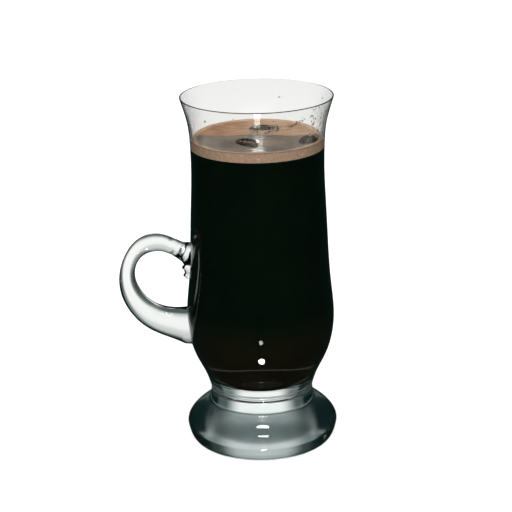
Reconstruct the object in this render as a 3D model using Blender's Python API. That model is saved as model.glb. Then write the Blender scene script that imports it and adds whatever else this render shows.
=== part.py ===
"""Tall footed glass mug of black coffee under a brown foam, with three roasted coffee beans.

Metres, real size, +Z up. The origin is the centre of the foot's flat underside and the handle
points along -X. Each separate piece is one closed solid in an object of its own.
"""

import math

import bpy
import numpy as np

MM = 0.001
SEGMENTS = 48
GAP = 0.3 * MM

# Outside of the glass
HEIGHT = 155.0 * MM
BASE_RADIUS = 29.4 * MM
FOOT_RADIUS = 33.3 * MM
FOOT_WIDEST_Z = 7.0 * MM
JOIN_RADIUS = 23.0 * MM
JOIN_Z = 17.9 * MM
NECK_RADIUS = 22.4 * MM
NECK_Z = 23.8 * MM
BELLY_RADIUS = 32.3 * MM
BELLY_Z = 58.0 * MM
WAIST_RADIUS = 28.5 * MM
WAIST_Z = 124.0 * MM
LIP_RADIUS = 32.6 * MM

# Inside of the glass
WALL_AT_LIP = 1.2 * MM
WALL_AT_WAIST = 1.4 * MM
WALL_AT_BELLY = 2.0 * MM
CAVITY_FLOOR_Z = 29.0 * MM
LIP_ROUNDING = 0.45 * MM

# Handle, as (x, z, half thickness, half width) along its middle, from the upper end to the lower
HANDLE_PATH = (
    (-27.0 * MM, 83.6 * MM, 6.4 * MM, 7.0 * MM),
    (-33.8 * MM, 86.8 * MM, 3.9 * MM, 4.6 * MM),
    (-44.2 * MM, 90.7 * MM, 3.9 * MM, 4.0 * MM),
    (-50.6 * MM, 89.1 * MM, 3.7 * MM, 4.0 * MM),
    (-55.2 * MM, 84.4 * MM, 3.2 * MM, 4.0 * MM),
    (-57.8 * MM, 76.5 * MM, 3.4 * MM, 4.1 * MM),
    (-57.0 * MM, 69.3 * MM, 4.2 * MM, 4.3 * MM),
    (-53.4 * MM, 62.4 * MM, 5.0 * MM, 4.7 * MM),
    (-47.0 * MM, 56.7 * MM, 5.9 * MM, 5.3 * MM),
    (-36.5 * MM, 53.1 * MM, 7.3 * MM, 7.0 * MM),
    (-27.5 * MM, 51.6 * MM, 9.8 * MM, 8.8 * MM),
)
HANDLE_PAD_CENTRE = (-30.2 * MM, 0.0, 82.0 * MM)
HANDLE_PAD_RADII = (2.7 * MM, 4.4 * MM, 8.2 * MM)
HANDLE_PAD_LEAN = math.radians(4.0)

# Contents
COFFEE_TOP = 132.8 * MM
FOAM_TOP_Z = 137.0 * MM
FOAM_EDGE_Z = 137.3 * MM
FOAM_EDGE_WIDTH = 1.6 * MM

# Beans
BEAN_LENGTH = 12.0 * MM
BEAN_WIDTH = 7.2 * MM
BEAN_BACK_DEPTH = 2.8 * MM
BEAN_FACE_RISE = 1.3 * MM
BEAN_CREASE_DEPTH = 0.6 * MM
BEAN_CREASE_HALF_WIDTH = 0.55 * MM
# Each bean as centre, turn about Z, tilt of its length and tilt of its width
BEANS = {
    "bean_left": ((-4.9 * MM, -12.3 * MM, 136.9 * MM), -42.0, 2.0, 24.0),
    "bean_right": ((21.3 * MM, -8.4 * MM, 136.9 * MM), 68.0, 4.0, 6.0),
    "bean_back": ((2.4 * MM, 11.4 * MM, 136.6 * MM), 9.0, 0.0, 14.0),
}


def clear_scene():
    for thing in list(bpy.data.objects):
        bpy.data.objects.remove(thing, do_unlink=True)


def new_material(name, colour, roughness, alpha=1.0):
    """A plain Principled material."""
    material = bpy.data.materials.new(name)
    material.use_nodes = True
    shader = material.node_tree.nodes["Principled BSDF"]
    shader.inputs["Base Color"].default_value = (*colour, 1.0)
    shader.inputs["Roughness"].default_value = roughness
    shader.inputs["Metallic"].default_value = 0.0
    shader.inputs["Alpha"].default_value = alpha
    return material


def new_object(name, vertices, faces):
    """An object shaded smooth, with its corners over 40 degrees kept sharp."""
    mesh = bpy.data.meshes.new(name)
    mesh.from_pydata([tuple(v) for v in vertices], [], faces)
    mesh.shade_smooth()
    mesh.set_sharp_from_angle(angle=math.radians(40))
    thing = bpy.data.objects.new(name, mesh)
    bpy.context.scene.collection.objects.link(thing)
    return thing


def make_cutter(thing):
    """Keeps a helper out of the picture."""
    thing.hide_render = True
    thing.display_type = "WIRE"
    return thing


def add_boolean(target, operation, helper):
    modifier = target.modifiers.new(helper.name, "BOOLEAN")
    modifier.operation = operation
    modifier.solver = "EXACT"
    modifier.object = helper


def smooth_through(points, count):
    """A natural cubic spline through the points, spaced by the distance in their first two numbers."""
    points = np.array(points)
    steps = np.hypot(np.diff(points[:, 0]), np.diff(points[:, 1]))
    knots = np.concatenate([[0.0], np.cumsum(steps)])
    size = len(points)
    matrix = np.eye(size)
    right = np.zeros_like(points)
    for i in range(1, size - 1):
        matrix[i, i - 1 : i + 2] = steps[i - 1], 2 * (steps[i - 1] + steps[i]), steps[i]
        slope_after = (points[i + 1] - points[i]) / steps[i]
        slope_before = (points[i] - points[i - 1]) / steps[i - 1]
        right[i] = 6 * (slope_after - slope_before)
    bend = np.linalg.solve(matrix, right)
    at = np.linspace(0.0, knots[-1], count)
    k = np.clip(np.searchsorted(knots, at, side="right") - 1, 0, size - 2)
    step = steps[k][:, None]
    after = (at - knots[k])[:, None]
    before = step - after
    cubic = (bend[k] * before**3 + bend[k + 1] * after**3) / (6 * step)
    line = (points[k] / step - bend[k] * step / 6) * before
    line += (points[k + 1] / step - bend[k + 1] * step / 6) * after
    return cubic + line


def round_corner(start, corner, end, count):
    """A parabola that leaves start towards the corner and arrives at end from it."""
    t = np.linspace(0.0, 1.0, count)[:, None]
    start, corner, end = np.array(start), np.array(corner), np.array(end)
    return (1 - t) ** 2 * start + 2 * t * (1 - t) * corner + t**2 * end


def revolve(name, outline):
    """Turns an outline of (radius, z) points, from the bottom of the axis to its top, about Z."""
    rings = [(r, z) for r, z in outline if r > 0.001 * MM]
    angles = np.arange(SEGMENTS) * 2 * math.pi / SEGMENTS
    vertices = [(0.0, 0.0, outline[0][1])]
    for r, z in rings:
        vertices += [(r * math.cos(a), r * math.sin(a), z) for a in angles]
    vertices.append((0.0, 0.0, outline[-1][1]))
    faces = close_rings(len(rings), SEGMENTS)
    return new_object(name, vertices, faces)


def close_rings(rings, around):
    """Faces of a closed skin over rings of vertices between a first and a last single vertex."""
    last = rings * around + 1
    faces = []
    for j in range(around):
        k = (j + 1) % around
        faces.append((0, 1 + k, 1 + j))
        top = 1 + (rings - 1) * around
        faces.append((last, top + j, top + k))
        for i in range(rings - 1):
            low = 1 + i * around
            high = low + around
            faces.append((low + j, low + k, high + k, high + j))
    return faces


def foot_outline():
    """From the middle of the underside, round the heel and over the shoulder to the neck."""
    heel = round_corner((BASE_RADIUS, 0.0), (32.0 * MM, 0.0), (FOOT_RADIUS, FOOT_WIDEST_Z), 6)
    shoulder = round_corner((FOOT_RADIUS, FOOT_WIDEST_Z), (33.5 * MM, 11.2 * MM), (JOIN_RADIUS, JOIN_Z), 9)
    return np.vstack([[(0.0, 0.0)], heel, shoulder[1:]])


def bowl_outline():
    """The outer wall, from just inside the join with the foot up to the lip."""
    return smooth_through(
        (
            (JOIN_RADIUS - 0.15 * MM, JOIN_Z + 0.1 * MM),
            (NECK_RADIUS, NECK_Z),
            (24.7 * MM, 31.0 * MM),
            (29.0 * MM, 40.0 * MM),
            (31.6 * MM, 49.0 * MM),
            (BELLY_RADIUS, BELLY_Z),
            (31.2 * MM, 71.0 * MM),
            (30.2 * MM, 84.0 * MM),
            (29.3 * MM, 104.0 * MM),
            (WAIST_RADIUS, WAIST_Z),
            (28.7 * MM, 135.0 * MM),
            (29.4 * MM, 143.0 * MM),
            (30.5 * MM, 147.8 * MM),
            (LIP_RADIUS, HEIGHT - LIP_ROUNDING),
        ),
        27,
    )


def cavity_outline():
    """The inner wall, from the middle of its floor up to the lip."""
    return smooth_through(
        (
            (0.0, CAVITY_FLOOR_Z),
            (12.0 * MM, CAVITY_FLOOR_Z + 0.5 * MM),
            (20.8 * MM, 33.6 * MM),
            (25.6 * MM, 40.0 * MM),
            (29.3 * MM, 49.0 * MM),
            (BELLY_RADIUS - WALL_AT_BELLY, BELLY_Z),
            (29.4 * MM, 71.0 * MM),
            (28.6 * MM, 84.0 * MM),
            (27.8 * MM, 104.0 * MM),
            (WAIST_RADIUS - WALL_AT_WAIST, WAIST_Z),
            (27.3 * MM, 135.0 * MM),
            (28.1 * MM, 143.0 * MM),
            (29.2 * MM, 147.8 * MM),
            (LIP_RADIUS - WALL_AT_LIP, HEIGHT - LIP_ROUNDING),
        ),
        24,
    )


def make_handle():
    """A flattened round bar swept along the handle's path, its ends buried in the wall."""
    around = 14
    path = smooth_through(HANDLE_PATH, 30)
    forward = np.gradient(path[:, :2], axis=0)
    forward /= np.linalg.norm(forward, axis=1)[:, None]
    vertices = [(path[0, 0], 0.0, path[0, 1])]
    for (x, z, thick, wide), (fx, fz) in zip(path, forward):
        for j in range(around):
            a = j * 2 * math.pi / around
            out = thick * math.cos(a)
            vertices.append((x - fz * out, wide * math.sin(a), z + fx * out))
    vertices.append((path[-1, 0], 0.0, path[-1, 1]))
    faces = close_rings(len(path), around)
    return new_object("handle bar", vertices, faces)


def make_handle_pad():
    """The flattened lump that the upper end of the handle leaves on the wall."""
    around, rows = 18, 9
    vertices = [(0.0, 0.0, -1.0)]
    for i in range(1, rows):
        up = -math.cos(math.pi * i / rows)
        out = math.sin(math.pi * i / rows)
        for j in range(around):
            a = j * 2 * math.pi / around
            vertices.append((out * math.cos(a), out * math.sin(a), up))
    vertices.append((0.0, 0.0, 1.0))
    shape = np.array(vertices) * HANDLE_PAD_RADII
    lean = np.array([
        [math.cos(HANDLE_PAD_LEAN), 0.0, math.sin(HANDLE_PAD_LEAN)],
        [0.0, 1.0, 0.0],
        [-math.sin(HANDLE_PAD_LEAN), 0.0, math.cos(HANDLE_PAD_LEAN)],
    ])
    return new_object("handle pad", shape @ lean.T + HANDLE_PAD_CENTRE, close_rings(rows - 1, around))


def make_glass():
    """Foot, neck, bowl and handle fused into one solid, hollowed from the top."""
    lip = round_corner(
        (LIP_RADIUS, HEIGHT - LIP_ROUNDING),
        (LIP_RADIUS + 0.1 * MM, HEIGHT),
        (LIP_RADIUS - 0.45 * MM, HEIGHT),
        4,
    )
    outside = np.vstack([foot_outline(), bowl_outline(), lip[1:], [(0.0, HEIGHT)]])
    glass = revolve("glass", outside)
    inner_lip = LIP_RADIUS - WALL_AT_LIP
    mouth = round_corner(
        (inner_lip, HEIGHT - LIP_ROUNDING),
        (inner_lip + 0.1 * MM, HEIGHT - 0.05 * MM),
        (inner_lip + 0.5 * MM, HEIGHT + 0.2 * MM),
        4,
    )
    top = [(inner_lip + 0.5 * MM, HEIGHT + 3 * MM), (0.0, HEIGHT + 3 * MM)]
    cavity = make_cutter(revolve("cavity", np.vstack([cavity_outline(), mouth[1:], top])))
    add_boolean(glass, "UNION", make_cutter(make_handle()))
    add_boolean(glass, "UNION", make_cutter(make_handle_pad()))
    add_boolean(glass, "DIFFERENCE", cavity)
    return glass


def filling_wall(low, high, count):
    """The side of what fills the cavity, a gap away from the glass, between two heights."""
    wall = smooth_through(cavity_outline(), 200)
    along = np.gradient(wall, axis=0)
    along /= np.linalg.norm(along, axis=1)[:, None]
    inset = wall + GAP * np.stack([-along[:, 1], along[:, 0]], axis=1)
    inset = inset[inset[:, 0] >= 0.0]
    lengths = np.concatenate([[0.0], np.cumsum(np.hypot(*np.diff(inset, axis=0).T))])
    start, end = np.interp([low, high], inset[:, 1], lengths)
    at = np.linspace(start, end, count)
    return np.stack([np.interp(at, lengths, inset[:, 0]), np.interp(at, lengths, inset[:, 1])], axis=1)


def make_coffee():
    """The drink, from the cavity's floor up to the foam."""
    wall = filling_wall(CAVITY_FLOOR_Z + GAP, COFFEE_TOP, 17)
    outline = np.vstack([[(0.0, wall[0, 1])], wall[1:], [(0.0, COFFEE_TOP)]])
    return revolve("coffee", outline)


def make_foam():
    """A layer with a flat underside and a level top that climbs a little up the glass."""
    wall = filling_wall(COFFEE_TOP + GAP, FOAM_EDGE_Z, 5)
    edge_radius, edge_z = wall[-1]
    climb = round_corner(
        (edge_radius, edge_z),
        (edge_radius - 0.2 * FOAM_EDGE_WIDTH, FOAM_TOP_Z),
        (edge_radius - FOAM_EDGE_WIDTH, FOAM_TOP_Z),
        6,
    )
    outline = np.vstack([[(0.0, COFFEE_TOP + GAP)], wall, climb[1:], [(0.0, FOAM_TOP_Z)]])
    return revolve("foam", outline)


def bean_shape(grow, crease):
    """Unturned bean along X: a rounded back below and a flatter face with a crease above."""
    around, stations = 20, 11
    half_length = BEAN_LENGTH / 2 + grow
    half_width = BEAN_WIDTH / 2 + grow
    vertices = [(-half_length, 0.0, 0.0)]
    for i in range(1, stations):
        x = -math.cos(math.pi * i / stations)
        girth = math.sin(math.pi * i / stations) ** 0.85
        for j in range(around):
            a = j * 2 * math.pi / around
            y = half_width * girth * math.cos(a)
            rise = BEAN_FACE_RISE if math.sin(a) > 0 else BEAN_BACK_DEPTH
            z = (rise + grow) * girth * math.sin(a)
            if math.sin(a) > 0:
                z -= crease * girth * math.exp(-((y / BEAN_CREASE_HALF_WIDTH) ** 2))
            vertices.append((x * half_length, y, z))
    vertices.append((half_length, 0.0, 0.0))
    faces = close_rings(stations - 1, around)
    return np.array(vertices), faces


def place(vertices, centre, turn, tilt, roll):
    """Rolls about X, lifts the +X end by tilt, turns about Z and moves, angles in degrees."""
    turn, tilt, roll = math.radians(turn), math.radians(tilt), math.radians(roll)
    about_x = np.array([[1, 0, 0], [0, math.cos(roll), -math.sin(roll)], [0, math.sin(roll), math.cos(roll)]])
    about_y = np.array([[math.cos(tilt), 0, -math.sin(tilt)], [0, 1, 0], [math.sin(tilt), 0, math.cos(tilt)]])
    about_z = np.array([[math.cos(turn), -math.sin(turn), 0], [math.sin(turn), math.cos(turn), 0], [0, 0, 1]])
    return vertices @ (about_z @ about_y @ about_x).T + centre


def make_beans(foam):
    """The beans, each with a pocket round it in the foam that it floats in."""
    beans = []
    for name, (centre, turn, tilt, roll) in BEANS.items():
        vertices, faces = bean_shape(0.0, BEAN_CREASE_DEPTH)
        beans.append(new_object(name, place(vertices, centre, turn, tilt, roll), faces))
        vertices, faces = bean_shape(GAP, 0.0)
        pocket = make_cutter(new_object(name + " pocket", place(vertices, centre, turn, tilt, roll), faces))
        add_boolean(foam, "DIFFERENCE", pocket)
    return beans


def main():
    clear_scene()
    glass = make_glass()
    coffee = make_coffee()
    foam = make_foam()
    beans = make_beans(foam)
    glass.data.materials.append(new_material("clear glass", (0.82, 0.88, 0.86), 0.03, 0.35))
    coffee.data.materials.append(new_material("black coffee", (0.010, 0.008, 0.004), 0.08))
    foam.data.materials.append(new_material("brown foam", (0.33, 0.20, 0.12), 0.35))
    roast = new_material("roasted bean", (0.052, 0.034, 0.022), 0.45)
    for bean in beans:
        bean.data.materials.append(roast)


main()
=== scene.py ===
"""Mexican coffee in a tall footed glass mug: the look of every piece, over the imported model."""

import math

import bpy
import numpy as np
from bpy.props import FloatProperty, FloatVectorProperty, PointerProperty
from mathutils import Matrix, Vector


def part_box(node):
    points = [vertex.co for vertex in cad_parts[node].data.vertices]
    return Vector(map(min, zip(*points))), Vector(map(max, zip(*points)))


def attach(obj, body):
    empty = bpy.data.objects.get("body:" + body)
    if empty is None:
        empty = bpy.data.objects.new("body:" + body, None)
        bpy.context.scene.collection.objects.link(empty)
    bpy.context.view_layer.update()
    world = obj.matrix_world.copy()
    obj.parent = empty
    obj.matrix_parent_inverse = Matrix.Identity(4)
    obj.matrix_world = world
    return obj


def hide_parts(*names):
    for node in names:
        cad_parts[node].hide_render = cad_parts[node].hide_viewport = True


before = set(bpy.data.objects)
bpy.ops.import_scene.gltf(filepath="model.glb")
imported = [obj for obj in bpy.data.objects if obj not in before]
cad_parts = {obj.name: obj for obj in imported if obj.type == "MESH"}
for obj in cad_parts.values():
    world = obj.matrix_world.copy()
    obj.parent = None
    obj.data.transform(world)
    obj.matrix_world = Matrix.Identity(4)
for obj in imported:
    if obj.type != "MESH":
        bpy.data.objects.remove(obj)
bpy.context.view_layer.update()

bl_info = {
    "name": "Mexican coffee",
    "version": (1, 0, 0),
    "blender": (4, 5, 0),
    "location": "View3D > Sidebar > Coffee",
    "description": "Builds a footed glass mug of black coffee with foam and coffee beans",
    "category": "Add Mesh",
}

MM = 0.001


class GlassSettings(bpy.types.PropertyGroup):
    """Sizes and colour of the mug."""

    height: FloatProperty(
        name="Height", description="Height of the lip", default=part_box("glass")[1][2], unit="LENGTH"
    )
    foot_radius: FloatProperty(
        name="Foot radius",
        description="Radius of the foot where it is widest",
        default=33.3 * MM,
        unit="LENGTH",
    )
    neck_radius: FloatProperty(
        name="Neck radius",
        description="Radius of the neck where it is thinnest",
        default=22.4 * MM,
        unit="LENGTH",
    )
    belly_radius: FloatProperty(
        name="Belly radius",
        description="Radius of the bowl where it is widest",
        default=32.3 * MM,
        unit="LENGTH",
    )
    waist_radius: FloatProperty(
        name="Waist radius", description="Radius of the bowl's waist", default=28.5 * MM, unit="LENGTH"
    )
    lip_radius: FloatProperty(
        name="Lip radius", description="Outer radius of the lip", default=32.6 * MM, unit="LENGTH"
    )
    tint: FloatVectorProperty(
        name="Tint",
        description="Colour that thick glass takes",
        subtype="COLOR",
        default=(0.62, 0.86, 0.84),
    )
    tint_depth: FloatProperty(
        name="Tint density", description="How fast thick glass takes its tint, per metre", default=4.0
    )


class DrinkSettings(bpy.types.PropertyGroup):
    """Levels and colours of the coffee and its foam."""

    coffee_colour: FloatVectorProperty(
        name="Coffee",
        description="Colour of the coffee",
        subtype="COLOR",
        default=(0.0023, 0.0062, 0.0034),
    )
    foam_colour: FloatVectorProperty(
        name="Foam",
        description="Colour of the dry foam on top",
        subtype="COLOR",
        default=(0.158, 0.080, 0.037),
    )
    film_colour: FloatVectorProperty(
        name="Film",
        description="Colour of the liquid film over the foam",
        subtype="COLOR",
        default=(0.010, 0.006, 0.002),
    )
    # The band is paler tan foam and partly painted light: its colour is set far brighter than the top's foam
    # to make up for the little light on the foam's upright side.
    band_colour_and_painted_light: FloatVectorProperty(
        name="Band",
        description="Colour of the foam seen through the glass",
        subtype="COLOR",
        default=(0.66, 0.45, 0.31),
    )
    foam_top: FloatProperty(
        name="Foam top",
        description="Height of the level top of the foam",
        default=137.0 * MM,
        unit="LENGTH",
    )
    foam_climb: FloatProperty(
        name="Climb",
        description="How far the foam climbs up the glass",
        default=0.15 * MM,
        unit="LENGTH",
    )


class BeanSettings(bpy.types.PropertyGroup):
    """Size and colour of the beans."""

    length: FloatProperty(name="Length", description="Length of a bean", default=12 * MM, unit="LENGTH")
    width: FloatProperty(name="Width", description="Width of a bean", default=7.2 * MM, unit="LENGTH")
    colour: FloatVectorProperty(
        name="Roast",
        description="Colour of a roasted bean",
        subtype="COLOR",
        default=(0.0075, 0.0045, 0.0028),
    )


class StageSettings(bpy.types.PropertyGroup):
    """Camera and lights."""

    camera_distance: FloatProperty(
        name="Camera distance", description="How far in front of the mug", default=0.6603, unit="LENGTH"
    )
    camera_height: FloatProperty(
        name="Camera height", description="Above the table", default=0.3073, unit="LENGTH"
    )
    focal_length: FloatProperty(name="Focal length", description="In millimetres", default=112.75)


# Shapes shared by the pieces

SEGMENTS = 160
BASE_RADIUS = 29.4 * MM
FOOT_WIDEST_Z = 7.0 * MM
# The corners that the foot's heel and shoulder round off, as (radius, z)
HEEL_CORNER = (32.0 * MM, 0.0)
SHOULDER_CORNER = (33.5 * MM, 11.2 * MM)
# Where the neck joins the foot, its fillet, and how far the fillet and the cone above it lean inwards
JOIN_RADIUS = 23.0 * MM
JOIN_Z = 17.9 * MM
JOIN_FILLET = 1.0 * MM
FILLET_LEAN = 0.1 * MM
CONE_LEAN = 0.22 * MM
NECK_Z = 23.8 * MM
# Fine grooves round the neck as height, depth and width
NECK_GROOVES = ((25.0 * MM, 0.30 * MM, 0.28 * MM), (26.5 * MM, 0.34 * MM, 0.22 * MM))
BELLY_Z = 58.0 * MM
WAIST_Z = 124.0 * MM
# The bowl's outline is worked out at many points, and away from the grooves one in so many is kept
BOWL_POINTS = 1429
KEEP_ONE_IN = 12
GROOVE_REACH = 1.0 * MM
# Wall thickness as (height, thickness), and at the lip
WALL_THICKNESS = ((40.0 * MM, 2.9 * MM), (BELLY_Z, 2.0 * MM), (84.0 * MM, 1.6 * MM), (WAIST_Z, 1.4 * MM))
WALL_AT_LIP = 0.6 * MM
LIP_ROUNDING = 0.3 * MM
# Where the rows that keep the lip crisp stand, as a share of the last step below it
LIP_GUARD = 0.06
# The cavity's round floor as (radius, z), and the height above which the inner wall follows the outer one
CAVITY_FLOOR_Z = 27.6 * MM
CAVITY_FLOOR = (
    (0.0, CAVITY_FLOOR_Z),
    (8.0 * MM, CAVITY_FLOOR_Z + 0.7 * MM),
    (14.5 * MM, CAVITY_FLOOR_Z + 2.9 * MM),
    (20.6 * MM, 35.0 * MM),
    (25.2 * MM, 40.5 * MM),
)
EVEN_WALL_Z = 46.0 * MM
COFFEE_TOP = 132.95 * MM
FILM_EDGE_Y = 1.5 * MM
REACH_INTO_WALL = 0.12 * MM

# The handle as (x, z, half thickness in its plane, half thickness across it), from its upper end
HANDLE_PATH = MM * np.array((
    (-29.6, 84.9, 5.6, 6.4),
    (-33.8, 86.8, 3.9, 4.6),
    (-44.2, 90.7, 3.9, 4.0),
    (-50.6, 89.1, 3.7, 4.0),
    (-55.2, 84.4, 3.2, 4.0),
    (-57.8, 76.5, 3.4, 4.1),
    (-57.0, 69.3, 4.2, 4.3),
    (-53.4, 62.4, 5.0, 4.7),
    (-47.0, 56.7, 5.9, 5.3),
    (-36.5, 53.1, 7.3, 7.0),
    (-31.2, 52.1, 8.7, 8.0),
))
# The creases at the handle's upper end: depth as a share of its thickness, and how far along they die away
HANDLE_CREASES = 0.05
CREASED_SHARE = 0.14
# How far inside the wall's outer face the handle's ends and the pad's back lie
HANDLE_SINK = 0.7 * MM
PAD_SINK = 0.35 * MM
# The pad under the handle's upper end
PAD_Z = 82.0 * MM
PAD_HALF_HEIGHT = 8.0 * MM
PAD_HALF_WIDTH = 3.6 * MM
PAD_OUT = 3.1 * MM


def smooth_through(points, count):
    """A natural cubic spline through the points, spaced by the distance in their first two numbers."""
    points = np.array(points)
    steps = np.hypot(np.diff(points[:, 0]), np.diff(points[:, 1]))
    knots = np.concatenate([[0.0], np.cumsum(steps)])
    size = len(points)
    matrix = np.eye(size)
    right = np.zeros_like(points)
    for i in range(1, size - 1):
        matrix[i, i - 1 : i + 2] = steps[i - 1], 2 * (steps[i - 1] + steps[i]), steps[i]
        right[i] = 6 * ((points[i + 1] - points[i]) / steps[i] - (points[i] - points[i - 1]) / steps[i - 1])
    bend = np.linalg.solve(matrix, right)
    at = np.linspace(0.0, knots[-1], count)
    k = np.clip(np.searchsorted(knots, at, side="right") - 1, 0, size - 2)
    step = steps[k][:, None]
    after = (at - knots[k])[:, None]
    before = step - after
    cubic = (bend[k] * before**3 + bend[k + 1] * after**3) / (6 * step)
    line = (points[k] / step - bend[k] * step / 6) * before
    return cubic + line + (points[k + 1] / step - bend[k + 1] * step / 6) * after


def round_corner(start, corner, end, count):
    """A parabola that leaves start towards the corner and arrives at end from it."""
    t = np.linspace(0.0, 1.0, count)[:, None]
    return (1 - t) ** 2 * np.array(start) + 2 * t * (1 - t) * np.array(corner) + t**2 * np.array(end)


def capped_grid(rows, around):
    """Faces over rings of vertices with one more vertex before the first ring and one after the last."""
    j = np.arange(around)
    k = (j + 1) % around
    low = 1 + np.arange(rows - 1)[:, None] * around
    quads = np.stack([low + j, low + k, low + around + k, low + around + j], axis=-1).reshape(-1, 4)
    bottom = np.stack([0 * j, 1 + k, 1 + j], axis=-1)
    last = 1 + (rows - 1) * around
    top = np.stack([0 * j + last + around, last + j, last + k], axis=-1)
    return bottom, quads, top


def mesh_from_rings(name, first, rings, last, sharp=None):
    """A closed skin over a grid of rings (rows, around, 3), with one vertex at each end."""
    vertices = np.concatenate([np.reshape(first, (1, 3)), rings.reshape(-1, 3), np.reshape(last, (1, 3))])
    return mesh_object(name, vertices, capped_grid(*rings.shape[:2]), sharp)


def mesh_object(name, vertices, face_groups, sharp=None):
    """An object from an array of vertices and arrays of faces, shaded smooth."""
    mesh = bpy.data.meshes.new(name)
    sizes = np.concatenate([np.full(len(g), g.shape[1]) for g in face_groups])
    loops = np.concatenate([g.reshape(-1) for g in face_groups])
    mesh.vertices.add(len(vertices))
    mesh.vertices.foreach_set("co", np.ascontiguousarray(vertices, dtype=np.float32).reshape(-1))
    mesh.loops.add(len(loops))
    mesh.loops.foreach_set("vertex_index", loops.astype(np.int32))
    mesh.polygons.add(len(sizes))
    mesh.polygons.foreach_set("loop_start", (np.cumsum(sizes) - sizes).astype(np.int32))
    mesh.update(calc_edges=True)
    mesh.validate()
    mesh.shade_smooth()
    if sharp is not None:
        mesh.set_sharp_from_angle(angle=math.radians(sharp))
    thing = bpy.data.objects.new(name, mesh)
    bpy.context.scene.collection.objects.link(thing)
    return thing


def circle(count):
    """Even angles all round."""
    return np.arange(count) * 2 * np.pi / count


def revolved(outline):
    """Rings of an outline of (radius, z) points turned about Z, as (rows, SEGMENTS, 3)."""
    a = circle(SEGMENTS)
    r, z = outline[:, 0][:, None], outline[:, 1][:, None]
    return np.stack([r * np.cos(a), r * np.sin(a), z + 0 * a], axis=-1)


def take(thing, material, slot_name, *replaced):
    """Gives a piece its finish and its place on the one body."""
    thing.data.materials.clear()
    thing.data.materials.append(material)
    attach(thing, "root")
    if replaced:
        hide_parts(*replaced)


def new_material(name, colour, roughness, ior=1.5, specular=0.5, transmission=0.0):
    """A material, its nodes, its links and its Principled shader with the constants on its sockets."""
    material = bpy.data.materials.new(name)
    material.use_nodes = True
    nodes, links = material.node_tree.nodes, material.node_tree.links
    nodes.clear()
    shader = nodes.new("ShaderNodeBsdfPrincipled")
    shader.inputs["Base Color"].default_value = (*colour, 1.0)
    shader.inputs["Roughness"].default_value = roughness
    shader.inputs["IOR"].default_value = ior
    shader.inputs["Specular IOR Level"].default_value = specular
    shader.inputs["Transmission Weight"].default_value = transmission
    output = nodes.new("ShaderNodeOutputMaterial")
    links.new(shader.outputs["BSDF"], output.inputs["Surface"])
    return material, nodes, links, shader


def object_axes(nodes, links):
    """The X, Y and Z of the Object coordinates."""
    place = nodes.new("ShaderNodeTexCoord")
    split = nodes.new("ShaderNodeSeparateXYZ")
    links.new(place.outputs["Object"], split.inputs["Vector"])
    return split.outputs


def noise(nodes, links, scale, detail):
    """A noise on Object coordinates, its scale per metre."""
    place = nodes.new("ShaderNodeTexCoord")
    texture = nodes.new("ShaderNodeTexNoise")
    texture.inputs["Scale"].default_value = scale
    texture.inputs["Detail"].default_value = detail
    links.new(place.outputs["Object"], texture.inputs["Vector"])
    return texture.outputs["Fac"]


def bump(nodes, links, height, distance):
    """The normal of a Bump node over a height socket."""
    node = nodes.new("ShaderNodeBump")
    node.inputs["Distance"].default_value = distance
    links.new(height, node.inputs["Height"])
    return node.outputs["Normal"]


def ramp(nodes, links, factor, stops):
    """The colour of a ramp over (position, colour) stops."""
    node = nodes.new("ShaderNodeValToRGB")
    elements = node.color_ramp.elements
    while len(elements) < len(stops):
        elements.new(0.5)
    for element, (position, colour) in zip(elements, stops):
        element.position = position
        element.color = (*colour, 1.0)
    links.new(factor, node.inputs["Fac"])
    return node.outputs["Color"]


def number_map(nodes, links, value, low, high, smooth=False):
    """Maps low..high onto nought to one."""
    node = nodes.new("ShaderNodeMapRange")
    node.interpolation_type = "SMOOTHSTEP" if smooth else "LINEAR"
    node.inputs["From Min"].default_value = low
    node.inputs["From Max"].default_value = high
    links.new(value, node.inputs["Value"])
    return node.outputs["Result"]


def maths(nodes, links, operation, *values):
    """A Math node over sockets or numbers."""
    node = nodes.new("ShaderNodeMath")
    node.operation = operation
    for socket, value in zip(node.inputs, values):
        if isinstance(value, (int, float)):
            socket.default_value = value
        else:
            links.new(value, socket)
    return node.outputs["Value"]


def square(nodes, links, value):
    """A socket times itself."""
    return maths(nodes, links, "MULTIPLY", value, value)


def mixed(nodes, links, factor, first, second):
    """A colour mix of two sockets or colours."""
    node = nodes.new("ShaderNodeMix")
    node.data_type = "RGBA"
    links.new(factor, node.inputs["Factor"])
    for socket, colour in (("A", first), ("B", second)):
        target = [i for i in node.inputs if i.name == socket and i.type == "RGBA"][0]
        if isinstance(colour, bpy.types.NodeSocket):
            links.new(colour, target)
        else:
            target.default_value = (*colour, 1.0)
    return [o for o in node.outputs if o.type == "RGBA"][0]


def blended(nodes, links, factor, first, second):
    """A Mix Shader node between the shaders of two nodes."""
    node = nodes.new("ShaderNodeMixShader")
    links.new(factor, node.inputs["Fac"])
    links.new(first.outputs[0], node.inputs[1])
    links.new(second.outputs[0], node.inputs[2])
    return node


def scaled(colour, share):
    """A colour times a number."""
    return tuple(c * share for c in colour)


# The mug


def foot_outline():
    """From the middle of the underside, round the heel and over the shoulder to the neck's fillet."""
    s = bpy.context.scene.coffee_glass
    widest = (s.foot_radius, FOOT_WIDEST_Z)
    under = np.stack([np.linspace(2 * MM, BASE_RADIUS, 12), np.zeros(12)], axis=1)
    heel = round_corner((BASE_RADIUS, 0.0), HEEL_CORNER, widest, 20)
    shoulder = round_corner(widest, SHOULDER_CORNER, (JOIN_RADIUS, JOIN_Z), 36)
    shoulder = shoulder[shoulder[:, 0] > JOIN_RADIUS + JOIN_FILLET]
    fillet = round_corner(shoulder[-1], (JOIN_RADIUS - FILLET_LEAN, JOIN_Z), cone_outline()[0], 9)
    return np.vstack([under, heel[1:], shoulder[1:], fillet[1:-1]])


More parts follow.
